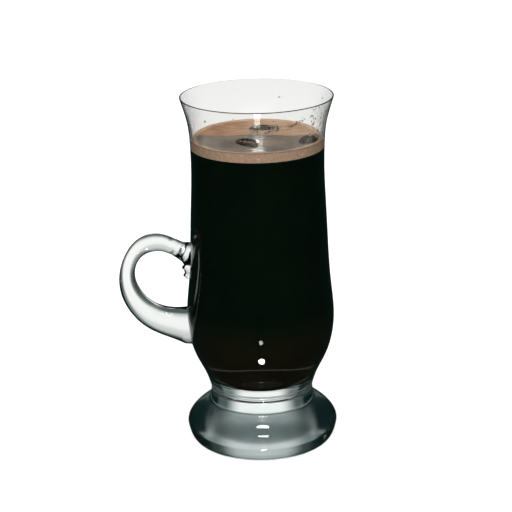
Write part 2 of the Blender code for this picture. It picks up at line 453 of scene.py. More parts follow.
def cone_outline():
    """The straight part of the neck, from the end of the join's fillet up to the crease."""
    s = bpy.context.scene.coffee_glass
    start = (JOIN_RADIUS - CONE_LEAN, JOIN_Z + JOIN_FILLET)
    return np.linspace(start, (s.neck_radius, NECK_Z), 6)[:-1]


def bowl_outline():
    """The outer wall: a cone up to a crease at the neck, then a smooth curve to the lip, less the grooves."""
    s = bpy.context.scene.coffee_glass
    wall = smooth_through(
        (
            (s.neck_radius, NECK_Z),
            (24.7 * MM, 31.0 * MM),
            (29.0 * MM, 40.0 * MM),
            (31.6 * MM, 49.0 * MM),
            (s.belly_radius, BELLY_Z),
            (31.2 * MM, 71.0 * MM),
            (30.2 * MM, 84.0 * MM),
            (29.3 * MM, 104.0 * MM),
            (s.waist_radius, WAIST_Z),
            (28.7 * MM, 135.0 * MM),
            (29.4 * MM, 143.0 * MM),
            (30.5 * MM, 147.8 * MM),
            (s.lip_radius, s.height - LIP_ROUNDING),
        ),
        BOWL_POINTS,
    )
    z = wall[:, 1]
    fine = np.zeros(len(z), dtype=bool)
    for height, depth, width in NECK_GROOVES:
        wall[:, 0] -= depth * np.exp(-(((z - height) / width) ** 2))
        fine |= np.abs(z - height) < GROOVE_REACH
    return np.vstack([cone_outline(), wall[fine | (np.arange(len(wall)) % KEEP_ONE_IN == 0)]])


def cavity_outline():
    """The inner wall, from the middle of its floor up to the lip: the outer wall less its thickness."""
    s = bpy.context.scene.coffee_glass
    outer = bowl_outline()
    along = np.gradient(outer, axis=0)
    along /= np.linalg.norm(along, axis=1)[:, None]
    heights, depths = np.array([*WALL_THICKNESS, (s.height, WALL_AT_LIP)]).T
    thickness = np.interp(outer[:, 1], heights, depths)
    wall = outer + thickness[:, None] * np.stack([-along[:, 1], along[:, 0]], axis=1)
    wall = wall[outer[:, 1] > EVEN_WALL_Z]
    return smooth_through((*CAVITY_FLOOR, *wall[::-3][::-1]), 110)


def mug_body():
    """The foot, the outer wall, a rounded lip and the inner wall, as one outline turned about Z, with a row
    close to the lip on each side."""
    s = bpy.context.scene.coffee_glass
    low = s.height - LIP_ROUNDING
    inner = cavity_outline()[-1, 0]
    middle = (s.lip_radius + inner) / 2
    t = np.linspace(0.0, np.pi, 11)[:, None]
    lip = np.hstack([middle + (s.lip_radius - middle) * np.cos(t), low + LIP_ROUNDING * np.sin(t)])
    outside, inside = bowl_outline(), cavity_outline()
    guards = [wall[-1:] + LIP_GUARD * (wall[-2:-1] - wall[-1:]) for wall in (outside, inside)]
    up = [foot_outline(), outside[:-1], guards[0], outside[-1:]]
    down = [inside[-1:], guards[1], inside[-2:0:-1]]
    rings = revolved(np.vstack([*up, lip[1:-1], *down]))
    return mesh_from_rings("mug_body", (0, 0, 0), rings, (0, 0, CAVITY_FLOOR_Z), sharp=50)


def wall_radius(z):
    """Outer radius of the bowl at a height."""
    wall = bowl_outline()
    rising = np.argsort(wall[:, 1])
    return np.interp(z, wall[rising, 1], wall[rising, 0])


def handle_bar(around=40, rows=120):
    """An ellipse carried along the handle's path, rippled near its upper end by a product of sines that dies
    away along it; the end rings are pushed just inside the wall."""
    path = smooth_through(HANDLE_PATH, rows)
    forward = np.gradient(path[:, :2], axis=0)
    forward /= np.linalg.norm(forward, axis=1)[:, None]
    a = circle(around)
    along = np.linspace(0.0, 1.0, rows)[:, None]
    creases = np.sin(150 * along + 2 * np.sin(2 * a)) * np.cos(3 * a + 40 * along)
    worked = 1 + HANDLE_CREASES * np.exp(-((along / CREASED_SHARE) ** 2)) * creases
    out = path[:, 2:3] * worked * np.cos(a)
    x = path[:, 0:1] - forward[:, 1:2] * out
    z = path[:, 1:2] + forward[:, 0:1] * out
    y = path[:, 3:4] * worked * np.sin(a)
    rings = np.stack([x, y, z], axis=-1)
    for row in (0, -1):
        depth = wall_radius(rings[row, :, 2]) - HANDLE_SINK
        rings[row, :, 0] = -np.sqrt(depth**2 - rings[row, :, 1] ** 2)
    first, last = rings[0].mean(axis=0), rings[-1].mean(axis=0)
    first[0] = -(wall_radius(first[2]) - HANDLE_SINK)
    last[0] = -(wall_radius(last[2]) - HANDLE_SINK)
    return mesh_from_rings("handle_bar", first, rings, last)


def handle_pad(around=56, rows=60):
    """Squared ellipses stacked up the wall into a blunt lump, pinched by two sines of the height into uneven
    ridges, as hot glass is when it is pressed on."""
    up = -np.cos(np.pi * np.arange(1, rows) / rows)[:, None]
    girth = np.sin(np.pi * np.arange(1, rows) / rows)[:, None] ** 0.5
    a = circle(around)
    flat_y = np.sign(np.sin(a)) * np.abs(np.sin(a)) ** 0.5
    flat_x = np.sign(np.cos(a)) * np.abs(np.cos(a)) ** 0.5
    ridge = 1.0 + 0.16 * np.sin(13 * up + 0.8 * np.sin(2 * a)) + 0.08 * np.sin(29 * up + 3 * a)
    z = PAD_Z + PAD_HALF_HEIGHT * up + 0 * a
    y = PAD_HALF_WIDTH * girth * flat_y * (1 + 0.08 * np.sin(11 * up))
    out = np.clip(flat_x, -0.2, 1.0) * girth * ridge * PAD_OUT
    x = -np.sqrt((wall_radius(z) - PAD_SINK) ** 2 - y**2) - out
    rings = np.stack([x, y, z], axis=-1)
    heights = PAD_Z - PAD_HALF_HEIGHT, PAD_Z + PAD_HALF_HEIGHT
    ends = [(PAD_SINK - wall_radius(h), 0.0, h) for h in heights]
    return mesh_from_rings("handle_pad", ends[0], rings, ends[1])


def fused(body, *extras):
    """The body with the extras joined on as one skin; the helpers are then removed."""
    for extra in extras:
        union = body.modifiers.new(extra.name, "BOOLEAN")
        union.operation = "UNION"
        union.solver = "EXACT"
        union.object = extra
    evaluated = body.evaluated_get(bpy.context.evaluated_depsgraph_get())
    mesh = bpy.data.meshes.new_from_object(evaluated)
    mesh.name = body.name
    body.modifiers.clear()
    body.data = mesh
    for extra in extras:
        bpy.data.objects.remove(extra, do_unlink=True)
    mesh.shade_smooth()
    mesh.set_sharp_from_angle(angle=math.radians(50))
    return body


# The underside's worn face: the heights between which the wear sets in, and its roughness
WORN_Z = (0.4 * MM, 0.1 * MM)
WORN_ROUGHNESS = 0.12


def glass_material():
    """Clear glass with a faint waviness, a worn underside and a cool tint where it is thick."""
    s = bpy.context.scene.coffee_glass
    material, nodes, links, shader = new_material("clear glass", (1.0, 1.0, 1.0), 0.0, transmission=1.0)
    underside = number_map(nodes, links, object_axes(nodes, links)["Z"], *WORN_Z)
    links.new(maths(nodes, links, "MULTIPLY", underside, WORN_ROUGHNESS), shader.inputs["Roughness"])
    waves = noise(nodes, links, 55.0, detail=1.0)
    links.new(bump(nodes, links, waves, 0.06 * MM), shader.inputs["Normal"])
    clear = nodes.new("ShaderNodeBsdfTransparent")
    path = nodes.new("ShaderNodeLightPath")
    mix = blended(nodes, links, path.outputs["Is Shadow Ray"], shader, clear)
    output = material.node_tree.get_output_node("ALL")
    links.new(mix.outputs["Shader"], output.inputs["Surface"])
    tint = nodes.new("ShaderNodeVolumeAbsorption")
    tint.inputs["Color"].default_value = (*s.tint, 1.0)
    tint.inputs["Density"].default_value = s.tint_depth
    links.new(tint.outputs["Volume"], output.inputs["Volume"])
    return material


class COFFEE_OT_mug(bpy.types.Operator):
    """Builds the glass: foot, bowl and handle in one skin"""

    bl_idname = "coffee.mug"
    bl_label = "Glass mug"

    def execute(self, context):
        mug = fused(mug_body(), handle_bar(), handle_pad())
        mug.name = "mug_glass"
        take(mug, glass_material(), "glass", "glass")
        return {"FINISHED"}


# The drink


def filling_wall(low, high, count):
    """The side of what fills the mug between two heights, reaching just into the glass."""
    wall = smooth_through(cavity_outline(), 400)
    along = np.gradient(wall, axis=0)
    along /= np.linalg.norm(along, axis=1)[:, None]
    wall = wall + REACH_INTO_WALL * np.stack([along[:, 1], -along[:, 0]], axis=1)
    wall = wall[wall[:, 0] > 0.0]
    lengths = np.concatenate([[0.0], np.cumsum(np.hypot(*np.diff(wall, axis=0).T))])
    start, end = np.interp([low, high], wall[:, 1], lengths)
    at = np.linspace(start, end, count)
    return np.stack([np.interp(at, lengths, wall[:, 0]), np.interp(at, lengths, wall[:, 1])], axis=1)


# Where the light through the foot makes the coffee look brown
BROWN_Z = (66.0 * MM, 34.0 * MM)
BROWN_COFFEE = (0.030, 0.021, 0.0090)


def coffee_material():
    """Near-black coffee, faintly clouded, and brown low down over the foot."""
    s = bpy.context.scene.coffee_drink
    dark = tuple(s.coffee_colour)
    material, nodes, links, shader = new_material("black coffee", dark, 0.12, ior=1.06, specular=0.0)
    clouds = noise(nodes, links, 40.0, detail=2.0)
    warmer = (dark[0] * 1.7, dark[1] * 1.25, dark[2] * 1.1)
    tone = ramp(nodes, links, clouds, [(0.35, dark), (0.75, warmer)])
    low = number_map(nodes, links, object_axes(nodes, links)["Z"], *BROWN_Z, smooth=True)
    links.new(mixed(nodes, links, low, tone, BROWN_COFFEE), shader.inputs["Base Color"])
    return material


class COFFEE_OT_drink(bpy.types.Operator):
    """Builds the coffee up to the foam"""

    bl_idname = "coffee.drink"
    bl_label = "Coffee"

    def execute(self, context):
        wall = filling_wall(CAVITY_FLOOR_Z - REACH_INTO_WALL, COFFEE_TOP, 90)
        top = np.stack([np.linspace(wall[-1, 0], 2 * MM, 10), np.full(10, COFFEE_TOP)], axis=1)
        rings = revolved(np.vstack([wall[1:], top[1:]]))
        first = (0, 0, wall[0, 1])
        drink = mesh_from_rings("coffee_drink", first, rings, (0, 0, COFFEE_TOP), sharp=40)
        take(drink, coffee_material(), "coffee", "coffee")
        return {"FINISHED"}


# How wide the climb up the glass is, and how high the dry foam's swells and the film's ripple are
CLIMB_WIDTH = 0.6 * MM
SWELL_HEIGHT = 0.04 * MM
RIPPLE_HEIGHT = 0.02 * MM


def foam_height(x, y, edge_radius):
    """The level top, a climb up the glass that dies away inwards, and low swells where the foam is dry."""
    s = bpy.context.scene.coffee_drink
    climb = s.foam_climb * np.exp(-(edge_radius - np.hypot(x, y)) / CLIMB_WIDTH)
    swell = np.sin(x / (1.9 * MM) + 2 * np.sin(y / (2.3 * MM)))
    swell = swell * np.sin(y / (1.5 * MM) + np.sin(x / (2.9 * MM)))
    dry = np.clip((y - FILM_EDGE_Y) / (4 * MM), 0.0, 1.0)
    ripple = np.sin(x / (5.3 * MM) + 0.6) * np.sin(y / (4.1 * MM) + 1.1)
    return s.foam_top + climb + SWELL_HEIGHT * swell * dry + RIPPLE_HEIGHT * ripple * (1 - dry)


# The film's edge: how far it wanders, and where it fades into the dry foam
FILM_WANDER = 9.0 * MM
FILM_FADE = (FILM_EDGE_Y + 3.0 * MM, FILM_EDGE_Y + 6.6 * MM)
# The rim of the top: how far it wanders, the radii where it sets in and its share of the band's partly
# painted colour
RIM_WANDER = 2.4 * MM
RIM_RADII = (25.6 * MM, 28.6 * MM)
RIM_SHARE = 0.40
# The foam's redder left: how far its edge wanders, and half the width over which it turns paler
STREAK_WANDER = 10.0 * MM
STREAK_HALF = 14.0 * MM
# Where the top's colour gives way to the band's, with its painted light, above and below the foam's level
SIDE_FADE = (0.05 * MM, -0.35 * MM)
FILM_ROUGHNESS = 0.07
RIM_ROUGHNESS = 0.45
FOAM_ROUGHNESS = 0.6


def foam_material():
    """Dry tan foam at the back, redder on its left, a greyer film over its front and a band at the glass,
    all wandering with a slow noise. The band is paler foam and partly painted light, set far brighter than
    the top."""
    s = bpy.context.scene.coffee_drink
    material, nodes, links, shader = new_material("coffee foam", s.foam_colour, 0.4, ior=1.4, specular=0.2)
    x, y, z = object_axes(nodes, links)
    drift = noise(nodes, links, 90.0, detail=2.0)
    froth = noise(nodes, links, 700.0, detail=3.0)
    patches = noise(nodes, links, 120.0, detail=2.0)
    across = maths(nodes, links, "MULTIPLY_ADD", drift, FILM_WANDER, y)
    dry = number_map(nodes, links, across, *FILM_FADE, smooth=True)
    foam, film, band = tuple(s.foam_colour), tuple(s.film_colour), tuple(s.band_colour_and_painted_light)
    pale = (foam[0] * 1.15 + 0.041, foam[1] * 1.2 + 0.049, foam[2] * 1.3 + 0.043)
    streaks = maths(nodes, links, "MULTIPLY_ADD", patches, STREAK_WANDER, x)
    right = number_map(nodes, links, streaks, -STREAK_HALF, STREAK_HALF, smooth=True)
    foam_tone = mixed(nodes, links, right, foam, pale)
    film_tone = ramp(nodes, links, drift, [(0.32, scaled(film, 0.8)), (0.68, scaled(film, 1.55))])
    top = mixed(nodes, links, dry, film_tone, foam_tone)
    squares = maths(nodes, links, "ADD", square(nodes, links, x), square(nodes, links, y))
    radius = maths(nodes, links, "SQRT", squares)
    rough_radius = maths(nodes, links, "MULTIPLY_ADD", drift, RIM_WANDER, radius)
    rim = number_map(nodes, links, rough_radius, *RIM_RADII, smooth=True)
    # Painted light: the band's colour is set far brighter than the top's foam, on top of its paler tan, to
    # light the foam's upright side.
    band_stops_and_painted_light = [(0.35, scaled(band, 0.84)), (0.62, band), (0.72, scaled(band, 1.35))]
    band_tone_and_painted_light = ramp(nodes, links, froth, band_stops_and_painted_light)
    top = mixed(nodes, links, maths(nodes, links, "MULTIPLY", rim, RIM_SHARE), top, band_tone_and_painted_light)
    side = number_map(nodes, links, z, *(s.foam_top + fade for fade in SIDE_FADE))
    links.new(mixed(nodes, links, side, top, band_tone_and_painted_light), shader.inputs["Base Color"])
    rough = ramp(nodes, links, dry, [(0.0, (FILM_ROUGHNESS,) * 3), (1.0, (FOAM_ROUGHNESS,) * 3)])
    links.new(mixed(nodes, links, rim, rough, (RIM_ROUGHNESS,) * 3), shader.inputs["Roughness"])
    lumps = maths(nodes, links, "MULTIPLY", froth, dry)
    links.new(bump(nodes, links, lumps, 0.25 * MM), shader.inputs["Normal"])
    return material


def foam_layer():
    """A flat underside, the side against the glass, and rings of the top drawn in to its middle."""
    s = bpy.context.scene.coffee_drink
    wall = filling_wall(COFFEE_TOP - 0.05 * MM, s.foam_top + s.foam_climb, 16)
    under = np.stack([np.linspace(2 * MM, wall[0, 0], 8)[:-1], np.full(7, wall[0, 1])], axis=1)
    side = revolved(np.vstack([under, wall]))
    edge = wall[-1, 0]
    close = edge - np.array([0.1, 0.22, 0.36, 0.55, 0.8, 1.1, 1.5, 2.0]) * MM
    radius = np.concatenate([close, np.linspace(edge - 2.5 * MM, 0.5 * MM, 96)])
    a = circle(SEGMENTS)
    x, y = radius[:, None] * np.cos(a), radius[:, None] * np.sin(a)
    top = np.stack([x, y, foam_height(x, y, edge)], axis=-1)
    tip = (0, 0, float(foam_height(0.0, 0.0, edge)))
    return mesh_from_rings("foam_layer", (0, 0, wall[0, 1]), np.concatenate([side, top]), tip, sharp=60)


def scattered(name, centres, radii, squash=None, around=8, rows=6):
    """Small balls at many centres; each may be squashed along its own unit direction, as rows of x, y, z and
    the share of its size that is left."""
    up = -np.cos(np.pi * np.arange(1, rows) / rows)
    girth = np.sin(np.pi * np.arange(1, rows) / rows)
    a = circle(around)
    ring = np.stack([girth[:, None] * np.cos(a), girth[:, None] * np.sin(a), up[:, None] + 0 * a], axis=-1)
    ball = np.concatenate([[(0, 0, -1)], ring.reshape(-1, 3), [(0, 0, 1)]])
    points = ball[None] * np.asarray(radii)[:, None, None]
    if squash is not None:
        along = np.einsum("npk,nk->np", points, squash[:, :3])
        lost = (1 - squash[:, 3:4]) * along
        points = points - lost[..., None] * squash[:, None, :3]
    points = points + np.asarray(centres)[:, None]
    offset = (np.arange(len(points)) * len(ball))[:, None, None]
    groups = [(faces + offset).reshape(-1, faces.shape[1]) for faces in capped_grid(rows - 1, around)]
    return mesh_object(name, points.reshape(-1, 3), groups)


# Bubbles all along the glass, as many again along its back half, and loose ones
EDGE_BUBBLES = 260
LOOSE_BUBBLES = 420


def bubble_places():
    """Bubbles along the glass all round, more at the back, and loose ones in the dry foam."""
    draw = np.random.default_rng(7)
    s = bpy.context.scene.coffee_drink
    edge = filling_wall(s.foam_top - 1 * MM, s.foam_top, 2)[-1, 0]
    ring = draw.uniform(0, 2 * np.pi, EDGE_BUBBLES)
    ring = np.concatenate([ring, draw.uniform(0.1 * np.pi, 0.9 * np.pi, EDGE_BUBBLES)])
    small = draw.uniform(0.10, 0.26, len(ring)) * MM
    out = edge - small * 0.8 - np.abs(draw.normal(0, 0.5, len(ring))) * MM
    loose_r = edge * np.sqrt(draw.uniform(0.0, 0.95, LOOSE_BUBBLES))
    loose_a = draw.uniform(0, np.pi, LOOSE_BUBBLES)
    loose = draw.uniform(0.08, 0.2, LOOSE_BUBBLES) * MM
    r, a = np.concatenate([out, loose_r]), np.concatenate([ring, loose_a])
    x, y = r * np.cos(a), r * np.sin(a)
    size = np.concatenate([small, loose])
    keep = np.concatenate([np.ones(len(ring), bool), y[len(ring) :] > FILM_EDGE_Y + 1 * MM])
    x, y, size = x[keep], y[keep], size[keep]
    return np.stack([x, y, foam_height(x, y, edge) - 0.35 * size], axis=-1), size


class COFFEE_OT_foam(bpy.types.Operator):
    """Builds the foam layer and its bubbles"""

    bl_idname = "coffee.foam"
    bl_label = "Foam"

    def execute(self, context):
        skin = foam_material()
        take(foam_layer(), skin, "foam", "foam")
        centres, sizes = bubble_places()
        take(scattered("foam_bubbles", centres, sizes), skin, "foam")
        return {"FINISHED"}


# What the drink has left on the wall


# The share of its size that a drop or fleck keeps across the wall
FLATTENED = 0.8


def on_wall(azimuth, height, size, sink):
    """Places on the inner wall by height and by azimuth from the front towards the right, in degrees, each
    moved in by a share of its size; and how each is squashed."""
    wall = cavity_outline()
    wall = wall[wall[:, 1] > 50 * MM]
    a = np.radians(azimuth)
    out = np.stack([np.sin(a), -np.cos(a), 0 * a], axis=1)
    radius = np.interp(height, wall[:, 1], wall[:, 0]) - sink * size
    places = out * radius[:, None]
    places[:, 2] = height
    return places, np.hstack([out, np.full((len(a), 1), FLATTENED)])


def drop_material():
    """Clear water with a faint brown tinge."""
    water = (1.0, 0.97, 0.94)
    material, nodes, links, shader = new_material("thin drops", water, 0.02, ior=1.33, transmission=1.0)
    ripple = noise(nodes, links, 600.0, detail=1.0)
    links.new(bump(nodes, links, ripple, 0.02 * MM), shader.inputs["Normal"])
    return material


def fleck_material():
    """Dried foam, mottled tan to brown."""
    material, nodes, links, shader = new_material("dried foam", (0.2, 0.1, 0.05), 0.6, specular=0.2)
    mottle = noise(nodes, links, 1500.0, detail=2.0)
    tone = ramp(nodes, links, mottle, [(0.35, (0.12, 0.06, 0.032)), (0.65, (0.34, 0.20, 0.12))])
    links.new(tone, shader.inputs["Base Color"])
    return material


# Patches of clear drops: how many, their azimuths in degrees and their heights in millimetres
DROP_PATCHES = (
    (170, (-5.0, 17.0), (145.4, 149.4)),
    (110, (46.0, 80.0), (139.5, 151.0)),
    (40, (80.0, 125.0), (139.5, 148.0)),
    (26, (-60.0, 170.0), (146.0, 153.0)),
)
# Wavy trails of dried foam: how many flecks, from (azimuth, height) to (azimuth, height), and their spread
FLECK_TRAILS = (
    (40, (25.0, 147.6), (33.0, 149.2), 0.30),
    (26, (32.0, 149.0), (40.0, 150.0), 0.12),
    (110, (12.0, 147.2), (38.0, 148.8), 0.80),
)
# Radii in millimetres: the least drop and what the largest has more, and the least and the largest fleck
DROP_RADII = (0.12, 0.34)
FLECK_RADII = (0.07, 0.19)


class COFFEE_OT_traces(bpy.types.Operator):
    """Builds the drops and the flecks of dried foam on the inner wall"""

    bl_idname = "coffee.traces"
    bl_label = "Drops and flecks"

    def execute(self, context):
        draw = np.random.default_rng(11)
        azimuth = np.concatenate([draw.uniform(*span, count) for count, span, _ in DROP_PATCHES])
        height = np.concatenate([draw.uniform(*span, count) for count, _, span in DROP_PATCHES]) * MM
        size = DROP_RADII[0] * MM + DROP_RADII[1] * MM * draw.uniform(0, 1, len(azimuth)) ** 2
        centres, squash = on_wall(azimuth, height, size, 0.3)
        take(scattered("wall_drops", centres, size, squash), drop_material(), "coffee")
        azimuth, height = [], []
        for count, start, end, spread in FLECK_TRAILS:
            t = np.sort(draw.uniform(0, 1, count))
            azimuth.append(start[0] + (end[0] - start[0]) * t + spread * draw.normal(0, 1, count))
            wave = 0.35 * np.sin(9 * t)
            height.append(start[1] + (end[1] - start[1]) * t + wave + spread * draw.normal(0, 1, count))
        azimuth, height = np.concatenate(azimuth), np.concatenate(height) * MM
        size = draw.uniform(*FLECK_RADII, len(azimuth)) * MM
        centres, squash = on_wall(azimuth, height, size, 0.2)
        take(scattered("wall_flecks", centres, size, squash), fleck_material(), "foam")
        return {"FINISHED"}


# The beans

# Each bean's middle, and its turn, tilt and roll in degrees
BEAN_PLACES = {
    "bean_left": ((-4.9 * MM, -12.3 * MM, 136.9 * MM), -42.0, 2.0, 24.0),
    "bean_right": ((21.3 * MM, -8.4 * MM, 136.9 * MM), 68.0, 4.0, 6.0),
    "bean_back": ((2.4 * MM, 11.4 * MM, 136.6 * MM), 9.0, 0.0, 14.0),
}
# How much chaff shows along each bean's crease, and all over it
BEAN_CHAFF = {"bean_left": (1.0, 0.0), "bean_right": (0.0, 0.14), "bean_back": (0.4, 0.05)}
CHAFF_COLOUR = (0.30, 0.21, 0.14)
# How high a bean stands over its middle and how deep it goes, and its crease's depth, width and wander
BEAN_ABOVE = 1.3 * MM
BEAN_BELOW = 2.8 * MM
CREASE_DEPTH = 0.75 * MM
CREASE_WIDTH = 0.45 * MM
CREASE_WANDER = 0.35 * MM


def bean_rings(around=64, stations=48):
    """Ellipses that swell and shrink along X, deeper below than above, less a crease along the top that is a
    bell curve across it and wanders by a sine; and how near each point is to the crease's two lips."""
    s = bpy.context.scene.coffee_beans
    t = np.pi * np.arange(1, stations) / stations
    x = -np.cos(t)[:, None] * s.length / 2
    girth = np.sin(t)[:, None] ** 0.85
    a = circle(around)
    y = s.width / 2 * girth * np.cos(a)
    above = np.sin(a) > 0
    z = np.where(above, BEAN_ABOVE, BEAN_BELOW) * girth * np.sin(a)
    from_crease = (y - CREASE_WANDER * np.sin(x / (2.2 * MM))) / CREASE_WIDTH
    z = z - np.where(above, CREASE_DEPTH * girth * np.exp(-(from_crease**2)), 0.0)
    lips = np.where(above, np.exp(-((np.abs(from_crease) - 1.3) ** 2) / 0.2), 0.0)
    return np.stack([x + 0 * a, y, z], axis=-1), lips


def placed(points, centre, turn, tilt, roll):
    """Rolls about X, lifts the +X end by tilt, turns about Z and moves, angles in degrees."""
    turned = Matrix.Rotation(math.radians(turn), 3, "Z") @ Matrix.Rotation(-math.radians(tilt), 3, "Y")
    turned = np.array(turned @ Matrix.Rotation(math.radians(roll), 3, "X"))
    return points @ turned.T + np.array(centre)


def bean_material():
    """Dark roasted skin, dry and finely mottled, with lighter chaff along the crease."""
    s = bpy.context.scene.coffee_beans
    material, nodes, links, shader = new_material("roasted bean", s.colour, 0.7, specular=0.0)
    grain = noise(nodes, links, 1100.0, detail=4.0)
    stops = [(0.3, scaled(s.colour, 0.25)), (0.55, tuple(s.colour)), (0.72, scaled(s.colour, 2.2))]
    skin = ramp(nodes, links, grain, stops)
    amount = nodes.new("ShaderNodeAttribute")
    amount.attribute_name = "chaff"
    flaky = number_map(nodes, links, grain, 0.38, 0.62)
    chaff = maths(nodes, links, "MULTIPLY", amount.outputs["Fac"], flaky)
    links.new(mixed(nodes, links, chaff, skin, CHAFF_COLOUR), shader.inputs["Base Color"])
    links.new(bump(nodes, links, grain, 0.2 * MM), shader.inputs["Normal"])
    return material


class COFFEE_OT_beans(bpy.types.Operator):
    """Builds the floating beans"""

    bl_idname = "coffee.beans"
    bl_label = "Coffee beans"

    def execute(self, context):
        s = context.scene.coffee_beans
        skin = bean_material()
        rings, lips = bean_rings()
        ends = np.array([[-s.length / 2, 0, 0], [s.length / 2, 0, 0]])
        for name, place in BEAN_PLACES.items():
            tips = placed(ends, *place)
            bean = mesh_from_rings("roasted_" + name, tips[0], placed(rings, *place), tips[1])
            along_crease, all_over = BEAN_CHAFF[name]
            values = all_over + along_crease * np.concatenate([[0.0], lips.reshape(-1), [0.0]])
            chaff = bean.data.attributes.new("chaff", "FLOAT", "POINT")
            chaff.data.foreach_set("value", values.astype(np.float32))
            take(bean, skin, "bean", name)
        return {"FINISHED"}


# The stage


def teal_grey(level):
    """A grey of the given brightness with its red drawn down where it is dim."""
    red = level * (1 - 0.25 * (1 - min(level, 1)) ** 2) - 0.007
    return max(red, 0.0015), level, 0.98 * level


def shaded_light(nodes, links, height, stops):
    """A Background node coloured by a ramp over (height of the ray, brightness) stops, where -1 is straight
    down and 1 is straight up."""
    light = nodes.new("ShaderNodeBackground")
    stops = [((h + 1) / 2, teal_grey(level)) for h, level in stops]
    links.new(ramp(nodes, links, height, stops), light.inputs["Color"])
    return light


def panel_edge(nodes, links, around, turn, period, inner, outer):
    """One inside a panel and nought outside, by the angle from the nearest of the panels a period apart."""
    shifted = maths(nodes, links, "ADD", around, math.radians(turn))
    folded = maths(nodes, links, "PINGPONG", shifted, math.radians(period / 2))
    return number_map(nodes, links, folded, math.radians(outer), math.radians(inner), smooth=True)


# Brightness by height of the ray, from straight down at -1 to straight up at 1
BACK_LEVELS = (
    (-1.0, 1.00), (-0.985, 1.00), (-0.97, 0.11), (-0.80, 0.11), (-0.70, 0.62), (-0.60, 0.92),
    (-0.45, 1.00), (-0.25, 0.98), (-0.12, 0.78), (0.0, 0.68), (0.12, 0.66), (0.22, 0.57),
    (0.32, 0.41), (0.50, 0.28), (0.66, 0.23), (0.80, 0.13),
)
FRONT_LEVELS = (
    (-1.0, 1.0), (-0.92, 1.0), (-0.88, 0.15), (-0.75, 0.15), (-0.60, 0.95), (-0.20, 0.90),
    (0.05, 0.60), (0.35, 0.02),
)
SIDE_LEVELS = (
    (-1.0, 0.80), (-0.93, 0.80), (-0.90, 0.03), (-0.62, 0.03), (-0.45, 0.90), (-0.25, 0.98),
    (-0.12, 0.60), (-0.02, 0.01),
)
SKIRT_LEVELS = (
    (-1.0, 0.12), (-0.70, 0.14), (-0.40, 0.08), (-0.28, 0.12), (-0.18, 0.23), (0.05, 0.23),
    (0.20, 0.16), (0.40, 0.04), (0.55, 0.05), (0.62, 0.13), (0.80, 0.11),
)
GAP_LEVELS = ((-1.0, 0.02), (-0.70, 0.02), (-0.60, 0.010), (0.54, 0.010), (0.62, 0.12), (1.0, 0.11))
ROOM_LEVELS = ((-1.0, 0.02), (0.55, 0.012), (0.95, 0.20))
# A thin bright line on the table, in reflections alone: an ellipse of directions by its half width, its half
# depth and its middle's Y; how its two edges fade, by a measure that is one on the ellipse; how it fades by
# the direction's height and by its Y; and its colour
TABLE_LINE = (0.58, 0.68, 0.20)
LINE_INNER = (0.95, 1.01)
LINE_OUTER = (1.08, 1.02)
LINE_BY_HEIGHT = (-0.45, -0.55)
LINE_BY_Y = (0.62, -0.35)
LINE_COLOUR = (0.80, 0.74, 0.66)
# Panels seen through glass: levels, turn, period, inner and outer half angle, in degrees from the back; the
# later ones cover the earlier
PANELS = (
    (SKIRT_LEVELS, -2.0, 180.0, 32.0, 38.0),
    (SIDE_LEVELS, 90.0, 180.0, 13.0, 30.0),
    (FRONT_LEVELS, 180.0, 360.0, 13.0, 30.0),
    (BACK_LEVELS, -1.0, 360.0, 12.0, 27.0),
)


# What falls on dull surfaces, and how bright the ground behind the mug is
SOFT_LIGHT = 0.55
BRIGHT_GROUND = 1.05


def plain_light(nodes, colour, strength=1.0):
    """A Background node of one colour."""
    light = nodes.new("ShaderNodeBackground")
    light.inputs["Color"].default_value = (*colour, 1.0)
    light.inputs["Strength"].default_value = strength
    return light


def table_line(nodes, links, x, y, z):
    """One on an ellipse of directions and nought off it, from the sum of the squares of x and y over the
    ellipse's half axes; it fades out upwards and towards the back."""
    half_width, half_depth, middle = TABLE_LINE
    sideways = maths(nodes, links, "DIVIDE", x, half_width)
    onward = maths(nodes, links, "DIVIDE", maths(nodes, links, "SUBTRACT", y, middle), half_depth)
    ring = maths(nodes, links, "ADD", square(nodes, links, sideways), square(nodes, links, onward))
    outside = number_map(nodes, links, ring, *LINE_INNER, smooth=True)
    inside = number_map(nodes, links, ring, *LINE_OUTER, smooth=True)
    below = number_map(nodes, links, z, *LINE_BY_HEIGHT)
    fading = maths(nodes, links, "MULTIPLY", below, number_map(nodes, links, y, *LINE_BY_Y))
    return maths(nodes, links, "MULTIPLY", maths(nodes, links, "MULTIPLY", outside, inside), fading)


